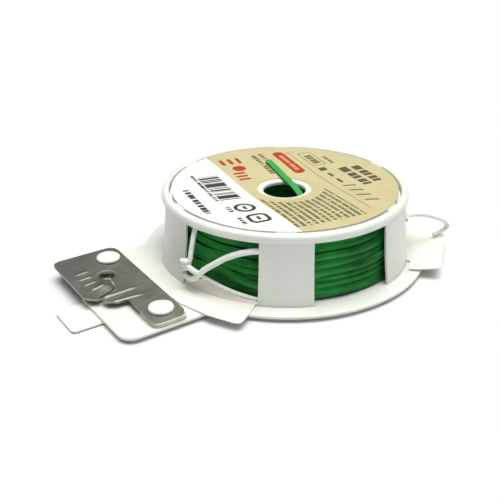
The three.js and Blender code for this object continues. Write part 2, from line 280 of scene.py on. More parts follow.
def sweep(centres, acrosses, aboves, section, closed=False):
    """A section of (across, above) points carried along a path, with the distance in the UVs."""
    centres, acrosses, aboves = (np.asarray(v, float) for v in (centres, acrosses, aboves))
    section = np.asarray(section, float)
    rings, sides = len(centres), len(section)
    vertices = (centres[:, None] + acrosses[:, None] * section[None, :, :1]
                + aboves[:, None] * section[None, :, 1:]).reshape(-1, 3)
    steps = np.linalg.norm(np.diff(centres, axis=0, append=centres[:1]), axis=1)
    travelled = np.concatenate([[0], np.cumsum(steps)])
    faces, uvs = [], []
    for i in range(rings if closed else rings - 1):
        after = (i + 1) % rings
        for j in range(sides):
            k = (j + 1) % sides
            faces.append([i * sides + j, i * sides + k, after * sides + k, after * sides + j])
            low, high = travelled[i], travelled[i + 1]
            left, right = j / sides, (j + 1) / sides
            uvs.append([(left, low), (right, low), (right, high), (left, high)])
    if not closed:
        for ring, order in ((0, range(sides - 1, -1, -1)), (rings - 1, range(sides))):
            faces.append([ring * sides + j for j in order])
            uvs.append([(0.5, travelled[ring])] * sides)
    return vertices, faces, uvs


def smooth_path(points, steps):
    """A Catmull-Rom curve through the points, with steps pieces between two points."""
    points = [np.asarray(p, float) for p in points]
    padded = [2 * points[0] - points[1], *points, 2 * points[-1] - points[-2]]
    path = []
    for a, b, c, d in zip(padded, padded[1:], padded[2:], padded[3:]):
        for i in range(steps):
            t = i / steps
            path.append(0.5 * (2 * b + (c - a) * t + (2 * a - 5 * b + 4 * c - d) * t ** 2
                               + (3 * b - a - 3 * c + d) * t ** 3))
    return path + [points[-1]]


def carried_frames(path):
    """Directions across and above a path that turn as little as they can along it."""
    path = np.asarray(path, float)
    tangents = np.gradient(path, axis=0)
    tangents /= np.linalg.norm(tangents, axis=1)[:, None]
    across = np.cross(tangents[0], (0.1, 0.2, 1))
    acrosses, aboves = [], []
    for tangent in tangents:
        across = across - tangent * np.dot(across, tangent)
        across = across / np.linalg.norm(across)
        acrosses.append(across)
        aboves.append(np.cross(across, tangent))
    return acrosses, aboves


def tube(points, radius, steps=10, sides=14):
    """A round cord along a smooth path."""
    path = smooth_path(points, steps)
    turns = np.linspace(0, 2 * math.pi, sides + 1)[:-1]
    section = [(radius * math.cos(t), radius * math.sin(t)) for t in turns]
    return sweep(path, *carried_frames(path), section[::-1])


def finish_piece(build, name, node, body, material, angle=35, merge=1e-6):
    """Makes a build into a named piece, smoothed over edges below an angle, with its body, material
    and the CAD node it replaces. A merge distance of 0 leaves its points alone."""
    piece = build.object(name)
    if merge:
        weld(piece.data, merge)
    smooth(piece, angle)
    piece.data.materials.clear()
    piece.data.materials.append(material)
    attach(piece, body)
    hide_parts(node)


# ---- Material helpers ----

def srgb(red, green, blue):
    """A colour given as 0 to 255 display values, in linear light."""
    def linear(value):
        value = value / 255
        return value / 12.92 if value <= 0.04045 else ((value + 0.055) / 1.055) ** 2.4
    return (linear(red), linear(green), linear(blue), 1)


class Field:
    """A number worked out by shader nodes, so that a pattern can be written as arithmetic."""

    def __init__(self, tree, source):
        self.tree = tree
        self.source = source

    def math(self, operation, *others, clamp=False):
        node = self.tree.nodes.new("ShaderNodeMath")
        node.operation = operation
        node.use_clamp = clamp
        for socket, value in zip(node.inputs, (self, *others)):
            value = value.source if isinstance(value, Field) else value
            if isinstance(value, (int, float)):
                socket.default_value = value
            else:
                self.tree.links.new(value, socket)
        return Field(self.tree, node.outputs[0])

    __add__ = functools.partialmethod(math, "ADD")
    __sub__ = functools.partialmethod(math, "SUBTRACT")
    __mul__ = functools.partialmethod(math, "MULTIPLY")
    __truediv__ = functools.partialmethod(math, "DIVIDE")
    absolute = functools.partialmethod(math, "ABSOLUTE")
    floor = functools.partialmethod(math, "FLOOR")
    fraction = functools.partialmethod(math, "FRACT")
    sine = functools.partialmethod(math, "SINE")
    above = functools.partialmethod(math, "GREATER_THAN")
    below = functools.partialmethod(math, "LESS_THAN")
    least = functools.partialmethod(math, "MINIMUM")
    most = functools.partialmethod(math, "MAXIMUM")

    def length(self, other):
        return (self * self + other * other).math("SQRT")


class Surface:
    """A Principled material and short ways to add the nodes it needs."""

    def __init__(self, name, **settings):
        self.material = bpy.data.materials.new(name)
        self.material.use_nodes = True
        self.tree = self.material.node_tree
        self.shader = self.tree.nodes["Principled BSDF"]
        self.set(**settings)

    def set(self, **settings):
        for key, value in settings.items():
            self.shader.inputs[key.replace("_", " ")].default_value = value

    def link(self, source, socket):
        source = source.source if isinstance(source, Field) else source
        self.tree.links.new(source, self.shader.inputs[socket])

    def coordinates(self, kind="Object"):
        """The object coordinates, or UVs, as three fields. Object coordinates are in millimetres."""
        node = self.tree.nodes.new("ShaderNodeTexCoord")
        split = self.tree.nodes.new("ShaderNodeSeparateXYZ")
        self.tree.links.new(node.outputs[kind], split.inputs[0])
        scale = 1 / MM if kind == "Object" else 1
        return [Field(self.tree, split.outputs[i]) * scale for i in range(3)]

    def noise(self, scale, detail=3, stretch=(1, 1, 1), kind="Object"):
        """Noise with features about 1 / scale millimetres across, from 0 to 1."""
        where = self.tree.nodes.new("ShaderNodeTexCoord")
        mapping = self.tree.nodes.new("ShaderNodeMapping")
        size = 1 / MM if kind == "Object" else 1
        mapping.inputs["Scale"].default_value = [size * s for s in stretch]
        texture = self.tree.nodes.new("ShaderNodeTexNoise")
        texture.inputs["Scale"].default_value = scale
        texture.inputs["Detail"].default_value = detail
        self.tree.links.new(where.outputs[kind], mapping.inputs["Vector"])
        self.tree.links.new(mapping.outputs[0], texture.inputs["Vector"])
        return Field(self.tree, texture.outputs[0])

    def random(self, x, y):
        """One random number from 0 to 1 for each whole x and y."""
        join = self.tree.nodes.new("ShaderNodeCombineXYZ")
        self.tree.links.new(x.source, join.inputs[0])
        self.tree.links.new(y.source, join.inputs[1])
        texture = self.tree.nodes.new("ShaderNodeTexWhiteNoise")
        texture.noise_dimensions = "2D"
        self.tree.links.new(join.outputs[0], texture.inputs["Vector"])
        return Field(self.tree, texture.outputs["Value"])

    def scaled(self, field, low, high, to_low, to_high):
        node = self.tree.nodes.new("ShaderNodeMapRange")
        limits = {"From Min": low, "From Max": high, "To Min": to_low, "To Max": to_high}
        for key, value in limits.items():
            node.inputs[key].default_value = value
        self.tree.links.new(field.source, node.inputs["Value"])
        return Field(self.tree, node.outputs[0])

    def mix(self, factor, first, second):
        """A colour between two, each a colour or a socket. Returns a socket."""
        node = self.tree.nodes.new("ShaderNodeMix")
        node.data_type = "RGBA"
        sockets = (node.inputs["Factor"], node.inputs[6], node.inputs[7])
        for socket, value in zip(sockets, (factor, first, second)):
            value = value.source if isinstance(value, Field) else value
            if isinstance(value, (int, float, tuple)):
                socket.default_value = value
            else:
                self.tree.links.new(value, socket)
        return node.outputs[2]

    def tone(self, field, first, second):
        """A base colour that drifts between two colours with a field."""
        self.link(self.mix(self.scaled(field, 0.35, 0.65, 0, 1), first, second), "Base Color")

    def gloss(self, field, low, high):
        """Roughness between two values with a field."""
        self.link(self.scaled(field, 0.3, 0.7, low, high), "Roughness")

    def bump(self, height, distance, strength=1.0):
        """Bump of a given depth in millimetres."""
        node = self.tree.nodes.new("ShaderNodeBump")
        node.inputs["Distance"].default_value = distance * MM
        node.inputs["Strength"].default_value = strength
        self.tree.links.new(height.source, node.inputs["Height"])
        self.tree.links.new(node.outputs[0], self.shader.inputs["Normal"])


# ---- Materials ----

def moulded_plastic(name, colour, shade, roughness, depth=0.02):
    """White moulded plastic: faint flow tone, fine gloss variation and a slight surface ripple."""
    surface = Surface(name, Specular_IOR_Level=0.5)
    surface.set(Subsurface_Weight=0.25, Subsurface_Scale=1.2 * MM, Subsurface_Radius=(1.0, 1.0, 0.8))
    surface.tone(surface.noise(0.06, 4), colour, shade)
    surface.gloss(surface.noise(0.7, 5), roughness - 0.07, roughness + 0.07)
    surface.bump(surface.noise(0.18, 2) + surface.noise(3.5, 3) * 0.15, depth)
    return surface.material


def vinyl(name, colour, painted_highlight):
    """Green vinyl coating: uneven tone whose lighter green, laid along random streaks, is a painted
    highlight; low gloss and fine drawing lines along the tie.
    """
    surface = Surface(name, Specular_IOR_Level=0.16)
    streaks = surface.noise(1, 3, (5, 0.03, 1), "UV") * 0.7 + surface.noise(0.12, 3) * 0.3
    # The second colour is a painted highlight: a lighter green mixed in along random streaks.
    surface.tone(streaks, colour, painted_highlight)
    surface.gloss(surface.noise(1.5, 3), 0.42, 0.56)
    around = surface.coordinates("UV")[0]
    surface.bump((around * 95).sine() * 0.4 + surface.noise(0.8, 3) * 1.2, 0.03)
    return surface.material


def pressed_steel():
    """Rolled sheet steel: a satin grain along the rolling direction, faint stains and rubs."""
    surface = Surface("cutter_steel", Metallic=1.0, Specular_IOR_Level=0.5)
    grain = surface.noise(2.2, 5, (0.12, 3.0, 1))
    surface.tone(surface.noise(0.11, 4), srgb(160, 160, 151), srgb(146, 145, 136))
    surface.gloss(grain, 0.34, 0.52)
    surface.bump(grain + surface.noise(0.5, 3) * 0.6, 0.012)
    return surface.material


def clear_pad():
    """Cloudy soft plastic with a faint haze."""
    surface = Surface("clear_pad", IOR=1.46, Specular_IOR_Level=0.6)
    surface.set(Subsurface_Weight=0.3, Subsurface_Scale=1.0 * MM, Subsurface_Radius=(1.0, 1.0, 0.8))
    surface.tone(surface.noise(0.3, 3), srgb(202, 197, 180), srgb(184, 178, 158))
    surface.gloss(surface.noise(1.2, 3), 0.22, 0.38)
    surface.bump(surface.noise(0.6, 2), 0.02)
    return surface.material


def elastic():
    """Braided cord: crossed diagonal ribs from the UVs, with a matt fibre finish."""
    surface = Surface("elastic_cord", Roughness=0.75, Sheen_Weight=0.3)
    surface.set(Subsurface_Weight=0.2, Subsurface_Scale=0.6 * MM, Subsurface_Radius=(1.0, 1.0, 0.8))
    around, along, _ = surface.coordinates("UV")
    weave = (along * 5.2 + around * 25.1).sine().most((along * 5.2 - around * 25.1).sine())
    dirt = surface.scaled(surface.noise(0.5, 4), 0.4, 0.75, 0, 1)
    surface.link(surface.mix(dirt, srgb(250, 254, 248), srgb(237, 243, 232)), "Base Color")
    surface.bump(weave + surface.noise(4, 2) * 0.5, 0.06, 0.8)
    return surface.material


def box_mark(a, b, left, right, bottom, top, corner=0.0):
    """How far outside a rounded box a point of the label is, in millimetres."""
    x = (a - (left + right) / 2).absolute() - ((right - left) / 2 - corner)
    y = (b - (bottom + top) / 2).absolute() - ((top - bottom) / 2 - corner)
    return x.most(0).length(y.most(0)) + x.most(y).least(0) - corner


def ink(distance):
    """Full ink inside a mark, fading over 0.1 mm at its edge."""
    return (distance * -10 + 0.5).math("ADD", 0, clamp=True)


def printed_paper():
    """The label: cream and white paper with plain marks where the print is. a runs along the
    rows of print and b up the label."""
    surface = Surface("label_paper", Roughness=0.42, Specular_IOR_Level=0.4)
    x, y, _ = surface.coordinates()
    turn = math.radians(-100)
    a = x * math.cos(turn) + y * math.sin(turn)
    b = x * -math.sin(turn) + y * math.cos(turn)
    radius = a.length(b)

    def box(*sides, corner=0.0):
        return ink(box_mark(a, b, *sides, corner))

    def outline(width, *sides, corner=0.0):
        return ink(box_mark(a, b, *sides, corner).absolute() - width / 2)

    def ring(at_a, at_b, size, width):
        return ink(((a - at_a).length(b - at_b) - size).absolute() - width / 2)

    def dashes(left, right, bottom, top, pitch, share=0.7, row_pitch=None, fill=0.6):
        """Rows of plain dashes of uneven length."""
        up = (b - bottom) / (row_pitch or top - bottom)
        along = a / pitch + up.floor() * 0.37
        wide = surface.random(along.floor(), up.floor() + 7) * 0.5 + share - 0.25
        rows = up.fraction().below(fill) if row_pitch else 1
        return box(left, right, bottom, top) * along.fraction().below(wide) * rows

    def bars(left, right, bottom, top):
        thick = surface.random((a / 0.33).floor(), a * 0 + 3).above(0.42)
        return box(left, right, bottom, top) * thick

    def union(marks):
        return functools.reduce(Field.most, marks)

    paper_tone = surface.scaled(surface.noise(0.09, 3), 0.35, 0.65, 0, 1)
    cream = surface.mix(paper_tone, srgb(208, 196, 150), srgb(202, 191, 145))
    white = surface.mix(paper_tone, srgb(240, 240, 235), srgb(235, 235, 229))
    colour = surface.mix(ink(b - a * 0.03 + 14.35), cream, white)

    # Red-orange: a pill with light dashes, and three bold marks of bars and a dot.
    pill = box(-32.3, -9.8, 10.1, 14.6, corner=2.2)
    red = union(
        [pill, box(-25.2, -20.4, -10.6, -5.4, corner=2.3)]
        + [box(-33.2, -27.4, height, height + 1.5, corner=0.7) for height in (-12.7, -9.3, -5.9)]
        + [box(left, left + 1.4, -12.3, -7.4, corner=0.6) for left in (-19.2, -16.4, -13.6)])
    colour = surface.mix(red, colour, srgb(176, 66, 28))
    colour = surface.mix(pill * dashes(-29, -13, 11.6, 13.2, 1.9), colour, srgb(238, 158, 122))

    # Small print on the cream part, as rows of dashes.
    block = dashes(4, 35.6, -13.4, 12.6, 2.3, 0.84, row_pitch=2.3, fill=0.55)
    soft = union([
        block * radius.above(14.5) * radius.below(37.6),
        dashes(-33.4, -14, 4.6, 6.4, 2.6),
        dashes(-33.4, -14, 1.4, 3.2, 2.2),
        outline(0.35, -27, -13, 19.4, 24.6, corner=0.8),
        dashes(-25.4, -14.4, 20.6, 23.4, 2.4),
        dashes(-20.8, -11.8, 26.7, 28.0, 2.0),
        box(-31, 32.6, 16.35, 16.65) * radius.below(36.2),
    ])
    colour = surface.mix(soft * 0.8, colour, srgb(76, 80, 46))

    # Bold dashes and slanted strokes of a heading, and two rows of solid blocks.
    slant = a - b * 0.45
    strokes = (slant / 5.2).fraction().below(0.2) * box(9, 28, 18.8, 23.4)
    bold = union([
        box(-10.2, -7.2, 19.4, 22.4, corner=0.6),
        box(-4.2, -0.6, 20.2, 21.4),
        box(2.0, 6.2, 20.2, 21.4),
        strokes,
        dashes(-5.4, 11.6, 31.1, 34.6, 3.2, 0.84),
        dashes(-6.4, 12.6, 26.1, 29.6, 3.6, 0.84),
    ])
    colour = surface.mix(bold * 0.88, colour, srgb(52, 58, 34))

    # Black on the white part: bars, dashes, a plain ring and a plain rounded square.
    black = union([
        bars(-20, 4.4, -26.8, -18.8),
        dashes(-22, 4.4, -28.6, -27.3, 1.5),
        dashes(-9.6, 13.2, -36, -33.8, 2.5, 0.8),
        ring(12.8, -21.6, 3.2, 1.3),
        box(11.4, 14.2, -22.2, -21.0),
        outline(1.3, 19.9, 26.1, -24.3, -17.9, corner=1.8),
        box(21.6, 24.4, -21.7, -20.5),
        dashes(10.4, 14.8, -28, -26.2, 1.7),
        dashes(20, 26, -27.8, -26.4, 1.7),
    ])
    colour = surface.mix(black * 0.95, colour, srgb(24, 26, 22))

    surface.link(colour, "Base Color")
    surface.gloss(surface.noise(0.4, 3), 0.36, 0.5)
    surface.bump(surface.noise(0.15, 3) + surface.noise(5, 2) * 0.08, 0.03)
    return surface.material


case_plastic = moulded_plastic("case_plastic", srgb(240, 242, 234), srgb(232, 235, 226), 0.34)
thin_plastic = moulded_plastic("thin_sheet", srgb(252, 250, 238), srgb(247, 245, 230), 0.42, 0.03)
# The coil and its free end are one vinyl; the end's much lighter greens are a painted lit copy, standing in
# for the light on the end on top of the spool.
coil_vinyl = vinyl("coil_vinyl", srgb(4, 70, 20), srgb(46, 156, 68))
lit_end_vinyl = vinyl("lit_end_vinyl", srgb(48, 152, 60), srgb(78, 174, 88))
steel = pressed_steel()
pad = clear_pad()
cord = elastic()
paper = printed_paper()


# ---- Base, cage, disc and label ----

def base_outline():
    """The flange and its tab, with a concave neck between them on each side. The tab's end is
    stepped back where the cutter covers it."""
    neck, step = 5.0, 3.6

    def neck_centre(edge, side):
        y = edge + side * neck
        return -math.sqrt((base_radius + neck) ** 2 - y * y), y

    near_x, near_y = neck_centre(tab_near, -1)
    far_x, far_y = neck_centre(tab_far, 1)
    near_angle = math.degrees(math.atan2(near_y, near_x))
    far_angle = math.degrees(math.atan2(far_y, far_x))
    corner = 5.0
    return (arc(0, 0, base_radius, near_angle, far_angle, 120)
            + arc(far_x, far_y, neck, far_angle - 180, -90, 8)
            + arc(tab_end + step + corner, tab_far - corner, corner, 90, 180, 10)
            + [(tab_end + step, 10.5), (tab_end + step * 0.5, 8.3), (tab_end, 6.3)]
            + arc(tab_end + corner, tab_near + corner, corner, 180, 270, 10)
            + arc(near_x, near_y, neck, 90, near_angle + 180, 8))


def base_plate():
    """The moulding, with a foot ring, a centre foot and two ribs beside the strap below it."""
    build = Build().add_mesh(slab([base_outline()], base_underside, base_top, 0.3))
    foot_top, inner, outer = base_underside + 0.2, 47, 49
    ring = [(inner, 0.1), (inner + 0.2, 0), (outer - 0.2, 0), (outer, 0.1), (outer, foot_top),
            (inner, foot_top)]
    gap = math.degrees(math.asin((strap_high.y + 2) * 2 / (inner + outer)))
    build.add(*turned(ring, 160, gap - 180, 180 - gap))
    build.add_mesh(slab([circle(0, 0, 6)], 0, foot_top, 0.15))
    for y in (strap_low.y - 1.1, strap_high.y + 1.1):
        left, right = tab_end + 5, strap_high.x
        rib = [(left, y - 0.8), (right, y - 0.8), (right, y + 0.8), (left, y + 0.8)]
        build.add_mesh(slab([rib], 0, foot_top, 0.15))
    finish_piece(build, "base_plate_moulding", "base_plate", "case", case_plastic)


def cage():
    """The rim and six pillars on one grid of angles and profile points. Windows leave out the
    wall's cells, and get jambs and a lintel between the outer and inner faces. A short ledge
    under each lug carries the disc."""
    shoulder, window_top = base_top + 0.03, 23.9
    wall_rows = 14
    wall, bottom_radius, top_radius = 0.8, 46.6, 44.3
    rim_top, rim_inner, rim_radius, lug_reach = cage_high.z, 41.9, 44.7, 4.6

    def outer(t):
        return bottom_radius + (top_radius - bottom_radius) * (t + 0.12 * math.sin(math.pi * t))

    ts = [i / wall_rows for i in range(wall_rows + 1)]
    heights = [shoulder + (window_top - shoulder) * t for t in ts]
    outside = [(outer(t), z) for t, z in zip(ts, heights)]
    inside = [(outer(t) - wall, z) for t, z in zip(ts, heights)]

    def profile_at(from_pillar):
        ledge = 38.5 if from_pillar < lug_reach else rim_inner - 0.01
        rim = rounded([
            (top_radius + 0.15, 24.2, 0.15),
            (rim_radius, 24.7, 0.5),
            (rim_radius, rim_top, 2.1),
            (rim_inner, rim_top - 0.05, 0.7),
            (rim_inner, 25.0, 0),
            (ledge, 25.0, 0),
            (ledge, 24.2, 0),
        ], 8)
        return outside + rim + inside[::-1]

    count = len(profile_at(0))
    lintel_outer, lintel_inner = wall_rows, count - 1 - wall_rows
    angles, is_window, vertices = [], [], []
    gap = 60 - pillar_width
    for centre in pillar_angles:
        steps = [(pillar_width * (i / 10 - 0.5), False) for i in range(10)]
        steps += [(pillar_width / 2 + gap * i / 16, True) for i in range(16)]
        for away, in_window in steps:
            angles.append(centre + away)
            is_window.append(in_window)
            vertices += [polar(centre + away, r, z) for r, z in profile_at(min(abs(away), 60 - away))]
    faces = []
    columns = len(angles)
    for i in range(columns):
        here, after = i * count, (i + 1) % columns * count
        if is_window[i]:
            edges = [(k, k + 1) for k in range(lintel_outer, lintel_inner)] + [(lintel_inner, lintel_outer)]
        else:
            edges = [(k, (k + 1) % count) for k in range(count)]
        faces += [[here + k, after + k, after + m, here + m] for k, m in edges]
        if is_window[i] != is_window[i - 1]:
            for k in range(wall_rows):
                opposite = count - 1 - k
                jamb = [here + k, here + k + 1, here + opposite - 1, here + opposite]
                faces.append(jamb if is_window[i] else jamb[::-1])
    shell = Build().add(vertices, faces).object("shell")
    weld(shell.data, 1e-6)
    bevel(shell, 0.18)
    build = Build().add_mesh(shell.data)
    bpy.data.objects.remove(shell)
    lug = rounded([(41.05, 25.05, 0), (rim_inner + 0.3, 25.05, 0), (rim_inner + 0.3, rim_top - 0.3, 0),
                   (41.05, rim_top - 0.3, 0.3)])
    for centre in pillar_angles:
        build.add(*turned(lug, 8, centre - 4.5, centre + 4.5))
    finish_piece(build, "cage_moulding", "cage", "case", case_plastic, 30)


def disc_face(start, end, edge_height, steps=26):
    """(radius, height) points across the sagging disc, from one radius to another."""
    radii = np.linspace(start, end, steps + 1)
    return [(r, edge_height - disc_sag * ((disc_edge - r) / (disc_edge - eye_radius)) ** 2) for r in radii]


def top_disc():
    profile = rounded([
        (eye_radius, disc_high.z - disc_sag - 1.5, 0.4),
        *[(r, z, 0) for r, z in disc_face(eye_radius + 1, disc_edge, disc_high.z - 1.5)],
        *[(r, z, 0) for r, z in disc_face(disc_edge, eye_radius + 2, disc_high.z)],
        (eye_radius, disc_high.z - disc_sag, 0.75),
    ], 5)
    build = Build().add(*turned(profile, 160))
    finish_piece(build, "top_disc_moulding", "top_disc", "case", case_plastic, 50)


def paper_label():
    """The label lies on the disc with a very slight waviness at its edge."""
    inner, edge = 9.9, disc_edge - 0.02
    profile = disc_face(inner, edge, label_high.z) + disc_face(edge, inner, disc_high.z + 0.05)
    vertices, faces = turned(profile, 180)
    lifted = []
    for x, y, z in vertices:
        wave = noise.noise(Vector((x, y, 0)) * 0.07) * 0.05 * (math.hypot(x, y) / disc_edge) ** 2
        lifted.append((x, y, z + wave))
    build = Build().add(lifted, faces)
    finish_piece(build, "printed_label", "paper_label", "case", paper, 60)


# ---- The tie ----

def tie_section(width, core, web):
    """The tie's section: a round wire core between two flat wings, across and above."""
    half = width / 2
    top = [(-half, 0), (-half + 0.1, web * 0.42), (-half + 0.35, web / 2), (-core * 0.72, web / 2),
           (-core * 0.42, core * 0.4), (0, core / 2), (core * 0.42, core * 0.4), (core * 0.72, web / 2),
           (half - 0.35, web / 2), (half - 0.1, web * 0.42)]
    return top + [(-x, -y) for x, y in top]


def coil_turn(height_at, tilt_at, depth_at, section, steps=180):
    """One turn of tie round the axis, depth_at(angle) inside the coil's outer face."""
    centres, acrosses, aboves = [], [], []
    up = np.array([0, 0, 1.0])
    for i in range(steps):
        angle = 360 * i / steps
        outward = polar(angle, 1, 0)
        tilt = math.radians(tilt_at(angle))
        height = height_at(angle)
        centres.append(polar(angle, coil_face(height) - depth_at(angle), height))
        acrosses.append(up * math.cos(tilt) - outward * math.sin(tilt))
        aboves.append(outward * math.cos(tilt) + up * math.sin(tilt))
    return sweep(centres, acrosses, aboves, section, closed=True)


# Heights of the outer turns at five directions. The turns run level all round but for the window
# with the cord, where they spread from the left and one climbs and then falls across the others.
# A depth is how far each lies inside the coil's outer face.
outer_directions = [-169, -157, -138, -111, -82]
outer_turns = [
    (4.4, 4.3, 4.0, 3.9, 3.6),
    (6.4, 6.4, 5.4, 5.9, 5.2),
    (8.1, 8.8, 7.4, 8.1, 7.4),
    (10.4, 12.0, 9.6, 10.3, 9.9),
    (9.4, 13.2, 6.9, 12.7, 12.4),
    (13.3, 14.2, 12.3, 15.2, 14.9),
    (15.5, 16.4, 15.0, 17.9, 17.2),
    (18.4, 18.2, 17.6, 20.1, 19.7),
    (21.0, 20.8, 20.4, 22.3, 22.0),
]
outer_depths = [0.7, 0.9, 1.3, 1.5, 0.2, 0.9, 0.4, 0.9, 1.3]
bore_radius = 15.1


def hump(distance, width):
    """1 where the distance is 0, falling smoothly to 0 on both sides."""
    return math.exp(-(distance / width) ** 2)


def ramp(value, low, high):
    """0 below low, 1 above high and smooth between."""
    t = max(0.0, min(1.0, (value - low) / (high - low)))
    return t * t * (3 - 2 * t)


def wander(seed, angle, amount, detail=1.0):
    """A smooth random value that closes on itself round the circle."""
    turn = math.radians(angle)
    return amount * noise.noise(Vector((math.cos(turn) * detail, math.sin(turn) * detail, seed * 3.7)))


def eased(angle, stops, values):
    """Straight lines between values at ascending stops, with their corners smoothed off."""
    return float(np.mean(np.interp(angle + np.linspace(-8, 8, 7), stops, values)))


def coil_face(height):
    """The radius of the coil's outer face, fuller at the foot. It clears the pillars and the cord
    all the way up, so the coil can turn."""
    return np.interp(height, [3, 5, 10, 15, 20, 24], [43.2, 43.8, 43.6, 43.0, 41.3, 40.5])


def packed_core(build):
    """The middle of the coil, which shows only as dark gaps."""
    foot, top = coil_low.z + 0.8, coil_high.z - 0.6
    outside = [(coil_face(z) - 3.4, z) for z in np.linspace(foot, top, 8)]
    build.add(*turned([(bore_radius + 0.5, foot), *outside, (bore_radius + 0.5, top)], 96))


def hidden_turns(build, section, low, high):
    """Turns that show between the outer ones."""
    for turn, rest in enumerate(np.linspace(low + 1.4, high - 1.4, 8)):
        build.add(*coil_turn(
            lambda angle: rest + wander(turn, angle, 0.5, 1.5),
            lambda angle: 8 + wander(turn + 20, angle, 12),
            lambda angle: 2.7,
            section,
        ))


def loose_turns(build, section, low, high):
    """The outer turns, level all round but for the window with the cord."""
    behind = (outer_directions[0] - 14, outer_directions[-1] + 14)
    stops = [behind[1] - 360, behind[0], *outer_directions, behind[1], behind[0] + 360]
    rests = np.linspace(low + 1.3, high - 1.3, len(outer_turns))
    for turn, (rest, heights) in enumerate(zip(rests, outer_turns)):
        values = [rest, rest, *heights, rest, rest]

        def height_at(angle):
            angle = (angle + 250) % 360 - 250
            height = eased(angle, stops, values) + wander(turn + 40, angle, 0.45, 2.2)
            return max(low + 1.25, min(high - 1.2, height))

        build.add(*coil_turn(
            height_at,
            lambda angle: 15 + wander(turn + 60, angle, 26, 1.7),
            lambda angle: outer_depths[turn] + wander(turn + 80, angle, 0.4, 2.0),
            section,
        ))


def stray_turns(build, section):
    """Turns that climb or fall across the others near one direction, and lie deep elsewhere."""
    for centre, rest, swing, seed in [(-172, 18, -3.0, 1), (75, 12, 4.5, 4), (15, 9, -4.0, 5)]:
        def height_at(angle):
            climb = swing * math.sin(math.radians(2.2 * (angle - centre)))
            return rest + climb + wander(seed, angle, 0.5)

        def depth_at(angle):
            return 0.35 + 2.2 * (1 - hump((angle - centre + 180) % 360 - 180, 30))

        build.add(*coil_turn(
            height_at, lambda angle: 15 + wander(seed + 20, angle, 20), depth_at, section,
        ))


def bore_turns(build):
    """The turns seen down the eye, as ridges in the coil's bore."""
    for rest in np.linspace(coil_low.z + 2, coil_high.z - 2, 7):
        low, high, back = rest - 1.2, rest + 1.2, bore_radius + 0.8
        ridge = [(bore_radius, low), (back, low), (back, high), (bore_radius, high),
                 (bore_radius - 0.15, rest)]
        build.add(*turned(ridge, 72))


def wire_coil():
    """The loose coil, in layers from the core out."""
    build = Build()
    section = tie_section(2.4, 1.7, 1.1)
    low, high = coil_low.z + 0.1, coil_high.z - 0.1
    packed_core(build)
    hidden_turns(build, section, low, high)
    loose_turns(build, section, low, high)
    stray_turns(build, section)
    bore_turns(build)
    finish_piece(build, "tie_coil", "wire_coil", "coil", coil_vinyl, 60, merge=0)


def wire_end():
    """The free end: up through the eye, over its far edge and across the label."""
    points = [
        (3.0, -12.4, 20.2), (3.0, -8.2, 21.4), (3.2, -4.8, 23.9), (3.6, -1.2, 25.2),
        (5.3, 5.8, 25.8), (6.9, 12.2, 26.1), (8.1, 17.9, 26.7), (9.1, 22.8, 27.15),
    ]
    path = smooth_path(points, 10)
    tangents = np.gradient(np.array(path), axis=0)
    tangents /= np.linalg.norm(tangents, axis=1)[:, None]
    acrosses = [np.cross(t, (0, 0, 1)) / np.linalg.norm(np.cross(t, (0, 0, 1))) for t in tangents]
    aboves = [np.cross(a, t) for a, t in zip(acrosses, tangents)]
    build = Build().add(*sweep(path, acrosses, aboves, tie_section(2.7, 1.1, 0.55)[::-1]))
    finish_piece(build, "tie_end", "wire_end", "coil", lit_end_vinyl, 50)


# ---- Cutter ----

def ribbon(points, width):
    """The outline of a narrow band along a path."""
    left, right = [], []
    for i, (x, y) in enumerate(points):
        before, after = points[max(0, i - 1)], points[min(len(points) - 1, i + 1)]
        along = Vector((after[0] - before[0], after[1] - before[1])).normalized()
        left.append((x - along.y * width / 2, y + along.x * width / 2))
        right.append((x + along.y * width / 2, y - along.x * width / 2))
    return left + right[::-1]


def beside(x, y, start, end):
    """How far a point is to the left of a line, and how far along it as a share."""
    along = Vector((end[0] - start[0], end[1] - start[1]))
    away = Vector((x - start[0], y - start[1]))
    return (along.x * away.y - along.y * away.x) / along.length, away.dot(along) / along.length_squared


